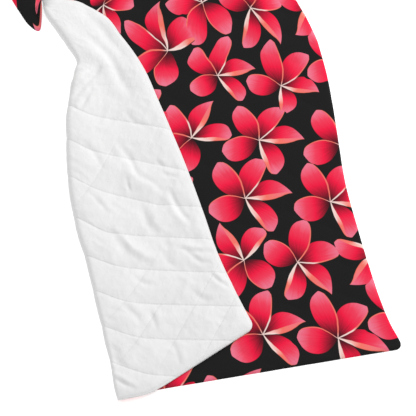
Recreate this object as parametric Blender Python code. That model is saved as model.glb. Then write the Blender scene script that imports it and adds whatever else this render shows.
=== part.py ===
"""Printed throw quilt, laid out on the floor with its left side turned over onto the print.

The quilt is two cut panels, a printed front and a plain white back, sewn together round the edge
and along a diamond grid. Both panels follow one middle surface, which is worked out from the
place of each point in the flat cut: `across` from the right edge and `along` from the bottom hem.
"""

import math

import bpy
import numpy as np
from mathutils import Vector
from mathutils.geometry import delaunay_2d_cdt

# The flat cut
CUT_WIDTH = 1.270
CUT_LENGTH = 1.778
CORNER_RADIUS = 0.022

# Quilting: diamonds stitched into the cloth before it was cut, so the grid meets the edges anyhow.
# A corner of one diamond lies QUILT_ACROSS from the right edge and QUILT_ALONG from the hem.
# The rows were let out in the middle stretch of the cloth: `rows_reach` is how far an even grid
# would have come at `along`.
DIAMOND_WIDE = 0.183
DIAMOND_LONG = 0.1155
QUILT_ACROSS = -0.045
QUILT_ALONG = -0.0225
ROW_NAMES = ("along", "rows_reach")
ROWS = (
    (0.000, 0.000),
    (0.500, 0.500),
    (1.000, 0.855),
    (CUT_LENGTH, 1.633),
)

# Thickness of each panel with its half of the filling
LOFT = 0.0031
SEAM_LOFT = 0.0008
EDGE_LOFT_SHARE = 0.25
EDGE_TAPER = 0.013
PANEL_GAP = 0.0003
LAYER_GAP = 0.0014

# Where the side opens out the cloth is sharply bent, and its filling is pressed thin
PRESSED_ACROSS = 1.215
PRESSED_ALONG = 1.485
PRESSED_WIDE = 0.105
PRESSED_LONG = 0.105
PRESSED_SHARE = 0.24

# How the left side is turned over. Each row is one section across the quilt, `along` metres from
# the bottom hem: where the right edge, the outermost point of the turn and the free edge of the
# turned side lie on the floor, and how high the turn stands. Past the last of the turned
# sections the free edge stays one short tail from the turn, until the side opens out.
SECTION_NAMES = (
    "along", "right_x", "right_y", "turn_x", "turn_y", "lip_x", "lip_y", "turn_high"
)
SECTIONS = (
    (0.000, -0.003, 0.000, -0.833, 0.021, -0.412, 0.140, 0.011),
    (0.030, -0.009, 0.030, -0.833, 0.050, -0.420, 0.169, 0.012),
    (0.080, -0.020, 0.078, -0.834, 0.100, -0.433, 0.217, 0.014),
    (0.150, -0.028, 0.148, -0.839, 0.170, -0.450, 0.285, 0.017),
    (0.250, -0.032, 0.248, -0.848, 0.269, -0.471, 0.383, 0.020),
    (0.400, -0.033, 0.398, -0.860, 0.419, -0.489, 0.531, 0.024),
    (0.550, -0.030, 0.548, -0.879, 0.567, -0.509, 0.680, 0.026),
    (0.700, -0.013, 0.697, -0.881, 0.717, -0.534, 0.828, 0.028),
    (0.850, 0.005, 0.846, -0.868, 0.867, -0.561, 0.975, 0.029),
    (0.950, 0.014, 0.945, -0.854, 0.965, -0.580, 1.074, 0.029),
    (1.050, 0.017, 1.045, -0.826, 1.061, -0.610, 1.169, 0.027),
    (1.100, 0.017, 1.095, -0.812, 1.109, -0.629, 1.215, 0.024),
    (1.145, 0.012, 1.140, -0.798, 1.152, -0.647, 1.256, 0.020),
    (1.175, 0.008, 1.170, -0.803, 1.181, -0.657, 1.285, 0.020),
    (1.220, 0.001, 1.214, -0.821, 1.222, -0.676, 1.324, 0.025),
    (1.260, -0.008, 1.253, -0.836, 1.259, -0.702, 1.354, 0.028),
    (1.300, -0.016, 1.292, -0.851, 1.296, -0.731, 1.382, 0.028),
    (1.350, -0.024, 1.341, -0.870, 1.342, -0.770, 1.413, 0.024),
    (1.400, -0.026, 1.391, -0.883, 1.390, -0.819, 1.428, 0.019),
    (1.430, -0.025, 1.420, -0.886, 1.419, -0.850, 1.436, 0.016),
    (1.470, -0.019, 1.459, -0.882, 1.453, -0.846, 1.460, 0.016),
    (1.520, -0.010, 1.508, -0.870, 1.496, -0.834, 1.500, 0.016),
    (1.620, 0.012, 1.603, -0.835, 1.585, -0.799, 1.590, 0.016),
    (1.778, 0.048, 1.748, -0.770, 1.728, -0.734, 1.730, 0.016),
)

# How the side opens out past the turn, up to the top left corner: where its free edge lies, the
# heading in which a section reaches it, and the width of cloth beyond the straight part.
OPEN_NAMES = ("along", "edge_x", "edge_y", "heading", "free_width")
OPEN_SECTIONS = (
    (1.420, -0.890, 1.420, 284.0, 0.053),
    (1.440, -0.895, 1.400, 284.0, 0.060),
    (1.480, -0.898, 1.358, 284.0, 0.115),
    (1.520, -0.916, 1.319, 270.0, 0.170),
    (1.560, -0.947, 1.352, 252.0, 0.215),
    (1.600, -0.970, 1.405, 238.0, 0.245),
    (1.650, -0.996, 1.475, 222.0, 0.275),
    (1.710, -1.025, 1.545, 210.0, 0.305),
    (1.778, -1.060, 1.610, 200.0, 0.330),
)
STANDS_FROM = 1.390
STANDS_AT = 1.455
OPENS_FROM = 1.420
OPENS_TO = 1.510
CREST_RISE = 0.013
CREST_FROM = 1.47
CREST_FULL = 1.54

# The turned side: its hem is drawn a little forward at the turn, a section leaves the turn
# square to it before it swings up to the free edge, and it settles onto the print below, over
# SETTLE_WIDTH or, where it is wide, over a share of its width.
HEM_PULL = 0.014
HEM_PULL_REACH = 0.09
SWING_FROM = 0.20
SWING_SOFTNESS = 0.045
SETTLE_WIDTH = 0.075
SETTLE_SHARE = 0.38
SHORTEST_TAIL = 0.028

# The printed side is let in under the turned side towards the top, where it lies gathered.
LEAST_EASE = 0.95
MOST_EASE = 1.18
EASE_POWER = 4

# Soft rolls that run up the printed side near the top
ROLL_NAMES = ("across", "width", "rise", "from_along", "full_along")
ROLLS = (
    (0.17, 0.26, 0.011, 0.95, 1.35),
    (0.47, 0.30, 0.013, 1.02, 1.45),
    (0.78, 0.24, 0.009, 1.28, 1.55),
)

# Main creases of the turned side, as soft ridges between two places in the cut
CREASE_NAMES = ("across_from", "along_from", "across_to", "along_to", "width", "rise")
CREASES = (
    (0.985, 0.780, 1.190, 0.520, 0.034, 0.0050),
    (1.130, 1.230, 1.190, 1.000, 0.030, 0.0055),
    (1.215, 1.330, 1.235, 1.190, 0.024, 0.0040),
    (1.010, 1.020, 1.110, 1.090, 0.028, 0.0045),
    (0.990, 0.420, 1.090, 0.330, 0.030, 0.0040),
)

# Where the part's origin, the middle of its box, lies among the sections
ORIGIN_X = -0.5041
ORIGIN_Y = 0.8740

# Mesh spacing
TURN_COLUMNS = 7
BAND_SIDE = 0.018
BAND_CLEAR = 0.018
EDGE_CLEAR = 0.020
FINE_EDGE_FROM = 1.34
BAND_STEPS = (
    (0.0, 1.00, 23), (1.00, 1.32, 15), (1.32, 1.38, 3), (1.38, 1.56, 18), (1.56, CUT_LENGTH, 7)
)
SIDE_STEPS_ACROSS = 18
SIDE_STEPS_ALONG = 25
CORNER_STEPS = 4
RING_INSET = EDGE_TAPER
SLOPE_STEP = 0.0005


def through(names, rows, name, at):
    """Smooth curve through one column of a table, read at the distances `at`."""
    table = np.array(rows)
    knots = table[:, 0]
    values = table[:, names.index(name)]
    slopes = np.gradient(values, knots)
    at = np.clip(at, knots[0], knots[-1])
    i = np.clip(np.searchsorted(knots, at, side="right") - 1, 0, len(knots) - 2)
    span = knots[i + 1] - knots[i]
    u = (at - knots[i]) / span
    start = (1 + 2 * u) * (1 - u) ** 2 * values[i] + u * (1 - u) ** 2 * span * slopes[i]
    end = u**2 * (3 - 2 * u) * values[i + 1] - u**2 * (1 - u) * span * slopes[i + 1]
    return start + end


def section(name, along):
    return through(SECTION_NAMES, SECTIONS, name, along)


def opened(name, along):
    return through(OPEN_NAMES, OPEN_SECTIONS, name, along)


def ease_in(x, low, high):
    """0 below `low`, 1 above `high`, and smooth between."""
    u = np.clip((x - low) / (high - low), 0, 1)
    return u * u * (3 - 2 * u)


def edge_distance(across, along):
    """Distance from the nearest edge of the cut, with its rounded corners."""
    from_side = np.minimum(across, CUT_WIDTH - across)
    from_end = np.minimum(along, CUT_LENGTH - along)
    in_x = np.maximum(CORNER_RADIUS - from_side, 0)
    in_y = np.maximum(CORNER_RADIUS - from_end, 0)
    in_corner = CORNER_RADIUS - np.hypot(in_x, in_y)
    return np.where((in_x > 0) & (in_y > 0), in_corner, np.minimum(from_side, from_end))


def taper(across, along):
    """How full the filling is: thin at the edge seam and in the sharp bends, whole elsewhere."""
    u = np.clip(edge_distance(across, along) / EDGE_TAPER, 0, 1)
    shoulder = EDGE_LOFT_SHARE + (1 - EDGE_LOFT_SHARE) * np.sqrt(1 - (1 - u) ** 2)
    off_across = (across - PRESSED_ACROSS) / PRESSED_WIDE
    off_along = (along - PRESSED_ALONG) / PRESSED_LONG
    pressed = np.exp(-((off_across**2 + off_along**2) ** 2))
    return shoulder * (1 - (1 - PRESSED_SHARE) * pressed)


def row_reach(along, back=False):
    """How far the grid's rows have come at `along`, or the way back from there to `along`."""
    table = dict(zip(ROW_NAMES, np.array(ROWS).T))
    known, wanted = ("rows_reach", "along") if back else ("along", "rows_reach")
    return np.interp(along, table[known], table[wanted])


def padding(across, along):
    """Puffed height of the quilting, 0 on the stitched lines and 1 in a diamond's middle."""
    wide = (across - QUILT_ACROSS) / DIAMOND_WIDE
    long = (row_reach(along) - QUILT_ALONG) / DIAMOND_LONG
    rising, falling = wide + long, wide - long
    return np.sqrt(np.abs(np.sin(math.pi * rising) * np.sin(math.pi * falling)))


def standing_share(along):
    """0 where the side is turned over, 1 from where its last strip stands up."""
    return ease_in(along, STANDS_FROM, STANDS_AT)


def opening_share(along):
    """0 up to where the last strip stands up, 1 where the side lies open."""
    return ease_in(along, OPENS_FROM, OPENS_TO)


def turn_frame(along):
    """Plan points and widths that all of a section's stretches share."""
    right = np.stack([section("right_x", along), section("right_y", along)], -1)
    turn = np.stack([section("turn_x", along), section("turn_y", along)], -1)
    lip = np.stack([section("lip_x", along), section("lip_y", along)], -1)
    radius = section("turn_high", along) / 2
    inward = right - turn
    inward /= np.linalg.norm(inward, axis=-1, keepdims=True)
    base = turn + inward * radius[..., None]
    tail = np.maximum(np.linalg.norm(lip - base, axis=-1), SHORTEST_TAIL)
    turned_width = math.pi * radius + tail
    share = opening_share(along)
    free_width = (1 - share) * turned_width + share * opened("free_width", along)
    return right, base, lip, inward, radius, free_width


def lying_height(across, along):
    """Height of the middle surface where the white back lies on the floor."""
    return PANEL_GAP / 2 + LOFT * taper(across, along)


def roll_height(across, along):
    rise = np.zeros_like(across)
    for row in ROLLS:
        roll = dict(zip(ROLL_NAMES, row))
        u = np.clip((across - roll["across"]) / roll["width"], -0.5, 0.5)
        grown = ease_in(along, roll["from_along"], roll["full_along"])
        rise += roll["rise"] * grown * np.cos(math.pi * u) ** 2
    return rise


def crease_height(across, along):
    rise = np.zeros_like(across)
    for row in CREASES:
        crease = dict(zip(CREASE_NAMES, row))
        run_x = crease["across_to"] - crease["across_from"]
        run_y = crease["along_to"] - crease["along_from"]
        length = math.hypot(run_x, run_y)
        off_x = across - crease["across_from"]
        off_y = along - crease["along_from"]
        down = (off_x * run_x + off_y * run_y) / length**2
        aside = (off_x * run_y - off_y * run_x) / length
        fade = np.sin(math.pi * np.clip(down, 0, 1)) ** 2
        rise += crease["rise"] * fade * np.exp(-((aside / crease["width"]) ** 2))
    return rise


def swing(u):
    """Share of a turned section's swing at `u` of its way from the turn to the free edge."""
    soft = SWING_SOFTNESS * np.log1p(np.exp((u - SWING_FROM) / SWING_SOFTNESS))
    return soft / (1 - SWING_FROM)


def turned_part(past, along, frame, height):
    """Points `past` metres beyond the straight part, where the side is turned over."""
    right, base, lip, inward, radius, free_width = frame
    sideways = np.stack([inward[..., 1], -inward[..., 0]], -1)
    angle = np.clip(past / radius, 0, math.pi)
    pull = HEM_PULL * np.exp(-along / HEM_PULL_REACH) * (1 - np.cos(angle)) / 2
    tail_start = base + sideways * (HEM_PULL * np.exp(-along / HEM_PULL_REACH))[..., None]
    reach = lip - tail_start
    onward = (reach * inward).sum(-1)
    aside = (reach * sideways).sum(-1)
    tail_width = np.maximum(free_width - math.pi * radius, SHORTEST_TAIL)
    gone = np.maximum(past - math.pi * radius, 0)
    u = gone / tail_width
    forward = -radius * np.sin(angle) + onward * u
    drift = pull + aside * (swing(u) - swing(0 * u))
    plan = base + inward * forward[..., None] + sideways * drift[..., None]
    rest = 2 * LOFT + PANEL_GAP + LAYER_GAP
    rest = rest + PANEL_GAP / 2 + LOFT * taper(CUT_WIDTH - free_width + past, along)
    over = height + radius * (1 - np.cos(angle))
    settled = np.exp(-((gone / np.maximum(SETTLE_WIDTH, SETTLE_SHARE * tail_width)) ** 2))
    up = np.where(angle < math.pi, over, rest + (height + 2 * radius - rest) * settled)
    return np.concatenate([plan, up[..., None]], -1)


def standing_part(past, along, frame, height):
    """Points `past` metres beyond the straight part, where the last strip stands up."""
    base, inward, radius = frame[1], frame[3], frame[4]
    angle = np.clip(past / radius, 0, math.pi / 2)
    gone = np.maximum(past - math.pi / 2 * radius, 0)
    plan = base - inward * (radius * np.sin(angle))[..., None]
    up = height + radius * (1 - np.cos(angle)) + gone
    return np.concatenate([plan, up[..., None]], -1)


def open_part(past, along, frame, height):
    """Points `past` metres beyond the straight part, where the side lies open."""
    right, base, lip, inward, radius, free_width = frame
    edge = np.stack([opened("edge_x", along), opened("edge_y", along)], -1)
    heading = np.radians(opened("heading", along))
    ahead = np.stack([np.cos(heading), np.sin(heading)], -1)
    u = past / free_width
    speed = np.linalg.norm(edge - base, axis=-1)[..., None]
    u = u[..., None]
    plan = (1 + 2 * u) * (1 - u) ** 2 * base - u * (1 - u) ** 2 * speed * inward
    plan = plan + u**2 * (3 - 2 * u) * edge - u**2 * (1 - u) * speed * ahead
    crest = CREST_RISE * ease_in(along, CREST_FROM, CREST_FULL) * np.sin(math.pi * u[..., 0])
    return np.concatenate([plan, (height + crest)[..., None]], -1)


def cloth_point(across, along):
    """Middle surface of the quilt as it lies, for places in the flat cut."""
    across = np.asarray(across, float)
    along = np.asarray(along, float)
    frame = turn_frame(along)
    right, base, lip, inward, radius, free_width = frame
    straight = CUT_WIDTH - free_width
    height = lying_height(across, along)
    share = np.clip(across / straight, 0, 1)
    ease = LEAST_EASE * straight / np.linalg.norm(base - right, axis=-1)
    ease = np.clip(ease, 1, MOST_EASE)
    run = ease * share - (ease - 1) * share**EASE_POWER
    plan = right + (base - right) * run[..., None]
    lying = np.concatenate([plan, (height + roll_height(across, along))[..., None]], -1)
    past = np.maximum(across - straight, 0)
    turned = turned_part(past, along, frame, height)
    turned[..., 2] += crease_height(across, along) * turned_share(across, along)
    stands = standing_part(past, along, frame, height)
    opens = open_part(past, along, frame, height)
    free = turned + (stands - turned) * standing_share(along)[..., None]
    free = free + (opens - free) * opening_share(along)[..., None]
    point = np.where((across <= straight)[..., None], lying, free)
    return point - np.array([ORIGIN_X, ORIGIN_Y, 0])


def turned_share(across, along):
    """0 where the print faces up, 1 where the white back does, through the turn."""
    frame = turn_frame(along)
    radius, free_width = frame[4], frame[5]
    past = across - (CUT_WIDTH - free_width)
    return ease_in(past, 0, math.pi * radius) * (1 - standing_share(along))


def outward(across, along):
    """Unit normal of the middle surface, on the printed side."""
    step = SLOPE_STEP
    low_x, high_x = np.maximum(across - step, 0), np.minimum(across + step, CUT_WIDTH)
    low_y, high_y = np.maximum(along - step, 0), np.minimum(along + step, CUT_LENGTH)
    by_across = cloth_point(high_x, along) - cloth_point(low_x, along)
    by_along = cloth_point(across, high_y) - cloth_point(across, low_y)
    normal = np.cross(by_along, by_across)
    return normal / np.linalg.norm(normal, axis=-1, keepdims=True)


def front_loft(across, along):
    """Thickness of the printed front: puffed where it lies on top, even where it is beneath."""
    puffed = SEAM_LOFT + (LOFT - SEAM_LOFT) * padding(across, along)
    turned = turned_share(across, along)
    return (puffed + (LOFT - puffed) * turned) * taper(across, along)


def back_loft(across, along):
    """Thickness of the white back: even on the floor, puffed where it is turned up."""
    puffed = SEAM_LOFT + (LOFT - SEAM_LOFT) * padding(across, along)
    turned = turned_share(across, along)
    return (LOFT + (puffed - LOFT) * turned) * taper(across, along)


def outline(inset):
    """Places round the cut, `inset` from its edge, evenly spaced and round the corners."""
    low_x, high_x = inset, CUT_WIDTH - inset
    low_y, high_y = inset, CUT_LENGTH - inset
    radius = max(CORNER_RADIUS - inset, 0)
    across = [CUT_WIDTH * k / SIDE_STEPS_ACROSS for k in range(1, SIDE_STEPS_ACROSS)]
    along = [CUT_LENGTH * k / SIDE_STEPS_ALONG for k in range(1, SIDE_STEPS_ALONG)]
    corners = (
        (high_x - radius, low_y + radius, -90),
        (high_x - radius, high_y - radius, 0),
        (low_x + radius, high_y - radius, 90),
        (low_x + radius, low_y + radius, 180),
    )
    band_low = [s for s in band_places(low_y) if low_x + radius < s < high_x - radius]
    band_high = [s for s in band_places(high_y) if low_x + radius < s < high_x - radius]
    sides = (
        [(s, low_y) for s in spaced(across, band_low)],
        [(high_x, t) for t in spaced(along, [t for t in band_rows() if t > FINE_EDGE_FROM])],
        [(s, high_y) for s in reversed(spaced(across, band_high))],
        [(low_x, t) for t in reversed(along)],
    )
    points = []
    for side, (x, y, start) in zip(sides, corners):
        points += side
        for k in range(CORNER_STEPS + 1):
            turn = math.radians(start + 90 * k / CORNER_STEPS)
            points.append((x + radius * math.cos(turn), y + radius * math.sin(turn)))
    return points if radius else list(dict.fromkeys(points))


def spaced(regular, kept):
    """The regular places that stand clear of the kept ones, with the kept ones, in order."""
    clear = [v for v in regular if all(abs(v - k) > BAND_CLEAR for k in kept)]
    return sorted(clear + list(kept))


def band_places(along):
    """Places across the cut that follow the turn, at one distance along it."""
    t = np.array(along, float)
    frame = turn_frame(t)
    radius, free_width = float(frame[4]), float(frame[5])
    share = float(opening_share(t))
    width = (1 - share) * math.pi * radius + share * free_width
    start = CUT_WIDTH - free_width
    places = [start + width * k / TURN_COLUMNS for k in range(TURN_COLUMNS + 1)]
    beside = [start - BAND_SIDE, places[-1] + BAND_SIDE]
    return [s for s in places + beside if s < CUT_WIDTH - BAND_CLEAR / 2]


def band_rows():
    rows = []
    for low, high, steps in BAND_STEPS:
        rows += [low + (high - low) * k / steps for k in range(steps)]
    return [t for t in rows[1:] if EDGE_CLEAR < t < CUT_LENGTH - EDGE_CLEAR]


def quarters(start, size, end):
    """Quarter diamonds, counted from `start`, that keep clear of the edges at 0 and `end`."""
    first = math.ceil((EDGE_CLEAR - start) / (size / 4))
    last = math.floor((end - EDGE_CLEAR - start) / (size / 4))
    return range(first, last + 1)


def cut_mesh():
    """Triangles of the flat cut: creased on the stitched lines and fine along the turn."""
    places = outline(0)
    count = len(places)
    face = list(range(count))
    edges = []
    ring = outline(RING_INSET)
    edges += [(count + k, count + (k + 1) % len(ring)) for k in range(len(ring))]
    places += ring
    columns = {}
    for t in band_rows():
        row = sorted(s for s in band_places(t) if EDGE_CLEAR < s < CUT_WIDTH - EDGE_CLEAR)
        for k, s in enumerate(row):
            columns.setdefault(k, []).append(len(places))
            places.append((s, t))
    for column in columns.values():
        edges += list(zip(column[:-1], column[1:]))
    stitched = {}
    for i in quarters(QUILT_ACROSS, DIAMOND_WIDE, CUT_WIDTH):
        for j in quarters(QUILT_ALONG, DIAMOND_LONG, float(row_reach(CUT_LENGTH))):
            on_line = (i + j) % 4 == 0 or (i - j) % 4 == 0
            s = QUILT_ACROSS + i * DIAMOND_WIDE / 4
            t = float(row_reach(QUILT_ALONG + j * DIAMOND_LONG / 4, back=True))
            band = band_places(t)
            if min(band) - BAND_CLEAR < s < max(band) + BAND_CLEAR:
                continue
            if on_line:
                stitched[(i, j)] = len(places)
            places.append((s, t))
    for (i, j), start in stitched.items():
        for up in (1, -1):
            if (i - up * j) % 4 == 0 and (i + 1, j + up) in stitched:
                edges.append((start, stitched[(i + 1, j + up)]))
    flat = [Vector(place) for place in places]
    made = delaunay_2d_cdt(flat, edges, [face], 1, 1e-6)
    points = np.array([tuple(v) for v in made[0]])
    triangles = np.array([f for f in made[2] if len(f) == 3])
    return points, triangles


def rim_of(triangles):
    """Directed edges that only one triangle uses."""
    uses = {}
    for a, b, c in triangles:
        for edge in ((a, b), (b, c), (c, a)):
            uses[edge] = uses.get(edge, 0) + 1
    return [edge for edge in uses if (edge[1], edge[0]) not in uses]


def panel(name, points, triangles, side, loft, finish):
    """One closed panel: its outer face, its inner face half a gap from the middle, and its rim."""
    across, along = points[:, 0], points[:, 1]
    middle = cloth_point(across, along)
    normal = outward(across, along) * side
    inner = middle + normal * (PANEL_GAP / 2)
    outer = inner + normal * loft(across, along)[:, None]
    count = len(points)
    facing = triangles if side < 0 else triangles[:, ::-1]
    faces = [tuple(t) for t in facing]
    faces += [tuple(t[::-1] + count) for t in facing]
    for a, b in rim_of(facing):
        faces += [(b, a, a + count), (b, a + count, b + count)]
    mesh = bpy.data.meshes.new(name)
    corners = np.concatenate([outer, inner])
    mesh.from_pydata(corners.tolist(), [], [tuple(int(i) for i in f) for f in faces])
    mesh.validate()
    mesh.shade_smooth()
    mesh.materials.append(finish)
    item = bpy.data.objects.new(name, mesh)
    bpy.context.scene.collection.objects.link(item)
    return item


def cloth_finish(name, colour, roughness):
    finish = bpy.data.materials.new(name)
    finish.use_nodes = True
    shader = finish.node_tree.nodes["Principled BSDF"]
    shader.inputs["Base Color"].default_value = (*colour, 1)
    shader.inputs["Roughness"].default_value = roughness
    shader.inputs["Metallic"].default_value = 0
    return finish


def main():
    for item in list(bpy.data.objects):
        bpy.data.objects.remove(item, do_unlink=True)
    points, triangles = cut_mesh()
    printed = cloth_finish("printed brushed polyester", (0.33, 0.02, 0.05), 0.85)
    white = cloth_finish("white brushed polyester", (0.86, 0.86, 0.86), 0.90)
    panel("printed_front", points, triangles, 1, front_loft, printed)
    panel("white_back", points, triangles, -1, back_loft, white)


main()
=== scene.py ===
"""Looks of a printed quilt that lies on the floor with its left side turned over onto the print.

The file is laid out as a Blender add-on: an operator for each piece, one for the stage, and a
panel in the sidebar. Both cloths follow the same sections as the quilt's solids, with finer
quilting and creases, and stitches lie on the white back where it shows. Places on the cloth are
given in the flat cut: `across` from the right edge and `along` from the bottom hem, in metres.
"""

import math
from collections import namedtuple

import bpy
import numpy as np
from bpy.props import FloatProperty, FloatVectorProperty, PointerProperty
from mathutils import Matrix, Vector


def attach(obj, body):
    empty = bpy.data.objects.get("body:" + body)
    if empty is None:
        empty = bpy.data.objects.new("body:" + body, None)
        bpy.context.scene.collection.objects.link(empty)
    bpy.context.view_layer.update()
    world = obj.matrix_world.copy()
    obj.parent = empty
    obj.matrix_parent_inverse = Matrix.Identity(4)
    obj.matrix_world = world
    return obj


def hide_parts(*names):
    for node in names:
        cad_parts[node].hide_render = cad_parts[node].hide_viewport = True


bl_info = {
    "name": "Printed Quilt",
    "version": (1, 0, 0),
    "blender": (4, 5, 0),
    "location": "View3D > Sidebar > Quilt",
    "description": "Makes a printed quilt with one side turned over, and its studio",
    "category": "Object",
}

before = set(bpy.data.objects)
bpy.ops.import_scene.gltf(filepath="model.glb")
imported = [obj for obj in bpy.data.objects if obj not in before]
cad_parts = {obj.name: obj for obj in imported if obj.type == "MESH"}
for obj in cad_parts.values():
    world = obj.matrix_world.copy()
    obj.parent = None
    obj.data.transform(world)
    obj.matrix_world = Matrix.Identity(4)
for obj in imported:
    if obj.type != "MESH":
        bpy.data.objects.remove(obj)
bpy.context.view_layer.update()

# The flat cut, its thickness, and the place in the sharp bend where it is pressed thin
CUT_WIDTH = 1.270
CUT_LENGTH = 1.778
CORNER_RADIUS = 0.022
LOFT = 0.0031
SEAM_LOFT = 0.0008
EDGE_LOFT_SHARE = 0.25
EDGE_TAPER = 0.013
PANEL_GAP = 0.0003
LAYER_GAP = 0.0014
PRESSED_ACROSS = 1.215
PRESSED_ALONG = 1.485
PRESSED_WIDE = 0.105
PRESSED_LONG = 0.105
PRESSED_SHARE = 0.24

# Quilting: `rows_reach` is how far an even grid would have come at `along`
DIAMOND_WIDE = 0.183
DIAMOND_LONG = 0.1155
QUILT_ACROSS = -0.045
QUILT_ALONG = -0.0225
ROW_NAMES = ("along", "rows_reach")
ROWS = (
    (0.000, 0.000),
    (0.500, 0.500),
    (1.000, 0.855),
    (CUT_LENGTH, 1.633),
)

# One section across the quilt a row, as in the solids: where the right edge, the outermost
# point of the turn and the free edge lie, and how high the turn stands.
SECTION_NAMES = (
    "along", "right_x", "right_y", "turn_x", "turn_y", "lip_x", "lip_y", "turn_high"
)
SECTIONS = (
    (0.000, -0.003, 0.000, -0.833, 0.021, -0.412, 0.140, 0.011),
    (0.030, -0.009, 0.030, -0.833, 0.050, -0.420, 0.169, 0.012),
    (0.080, -0.020, 0.078, -0.834, 0.100, -0.433, 0.217, 0.014),
    (0.150, -0.028, 0.148, -0.839, 0.170, -0.450, 0.285, 0.017),
    (0.250, -0.032, 0.248, -0.848, 0.269, -0.471, 0.383, 0.020),
    (0.400, -0.033, 0.398, -0.860, 0.419, -0.489, 0.531, 0.024),
    (0.550, -0.030, 0.548, -0.879, 0.567, -0.509, 0.680, 0.026),
    (0.700, -0.013, 0.697, -0.881, 0.717, -0.534, 0.828, 0.028),
    (0.850, 0.005, 0.846, -0.868, 0.867, -0.561, 0.975, 0.029),
    (0.950, 0.014, 0.945, -0.854, 0.965, -0.580, 1.074, 0.029),
    (1.050, 0.017, 1.045, -0.826, 1.061, -0.610, 1.169, 0.027),
    (1.100, 0.017, 1.095, -0.812, 1.109, -0.629, 1.215, 0.024),
    (1.145, 0.012, 1.140, -0.798, 1.152, -0.647, 1.256, 0.020),
    (1.175, 0.008, 1.170, -0.803, 1.181, -0.657, 1.285, 0.020),
    (1.220, 0.001, 1.214, -0.821, 1.222, -0.676, 1.324, 0.025),
    (1.260, -0.008, 1.253, -0.836, 1.259, -0.702, 1.354, 0.028),
    (1.300, -0.016, 1.292, -0.851, 1.296, -0.731, 1.382, 0.028),
    (1.350, -0.024, 1.341, -0.870, 1.342, -0.770, 1.413, 0.024),
    (1.400, -0.026, 1.391, -0.883, 1.390, -0.819, 1.428, 0.019),
    (1.430, -0.025, 1.420, -0.886, 1.419, -0.850, 1.436, 0.016),
    (1.470, -0.019, 1.459, -0.882, 1.453, -0.846, 1.460, 0.016),
    (1.520, -0.010, 1.508, -0.870, 1.496, -0.834, 1.500, 0.016),
    (1.620, 0.012, 1.603, -0.835, 1.585, -0.799, 1.590, 0.016),
    (1.778, 0.048, 1.748, -0.770, 1.728, -0.734, 1.730, 0.016),
)

# The side that stands up past the turn and then opens out, with a low crest
OPEN_NAMES = ("along", "edge_x", "edge_y", "heading", "free_width")
OPEN_SECTIONS = (
    (1.420, -0.890, 1.420, 284.0, 0.053),
    (1.440, -0.895, 1.400, 284.0, 0.060),
    (1.480, -0.898, 1.358, 284.0, 0.115),
    (1.520, -0.916, 1.319, 270.0, 0.170),
    (1.560, -0.947, 1.352, 252.0, 0.215),
    (1.600, -0.970, 1.405, 238.0, 0.245),
    (1.650, -0.996, 1.475, 222.0, 0.275),
    (1.710, -1.025, 1.545, 210.0, 0.305),
    (1.778, -1.060, 1.610, 200.0, 0.330),
)
STANDS_FROM = 1.390
STANDS_AT = 1.455
OPENS_FROM = 1.420
OPENS_TO = 1.510
CREST_RISE = 0.013
CREST_FROM = 1.47
CREST_FULL = 1.54

# How the turned side is drawn in at the hem, swings round to its free edge and settles on the
# print, and how far the flat part is eased to fit its section
HEM_PULL = 0.014
HEM_PULL_REACH = 0.09
SWING_FROM = 0.20
SWING_SOFTNESS = 0.045
SETTLE_WIDTH = 0.075
SETTLE_SHARE = 0.38
SHORTEST_TAIL = 0.028
LEAST_EASE = 0.95
MOST_EASE = 1.18
EASE_POWER = 4

# Soft rolls that run up the printed side near the top
ROLL_NAMES = ("across", "width", "rise", "from_along", "full_along")
ROLLS = (
    (0.17, 0.26, 0.011, 0.95, 1.35),
    (0.47, 0.30, 0.013, 1.02, 1.45),
    (0.78, 0.24, 0.009, 1.28, 1.55),
)

# Creases of the turned side, each as a ridge or, below zero, a trough between two places
CREASE_NAMES = ("across_from", "along_from", "across_to", "along_to", "width", "rise")
MAIN_CREASES = (
    (0.985, 0.780, 1.190, 0.520, 0.034, 0.0050),
    (1.130, 1.230, 1.190, 1.000, 0.030, 0.0055),
    (1.215, 1.330, 1.235, 1.190, 0.024, 0.0040),
    (1.010, 1.020, 1.110, 1.090, 0.028, 0.0045),
    (0.990, 0.420, 1.090, 0.330, 0.030, 0.0040),
)

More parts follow.
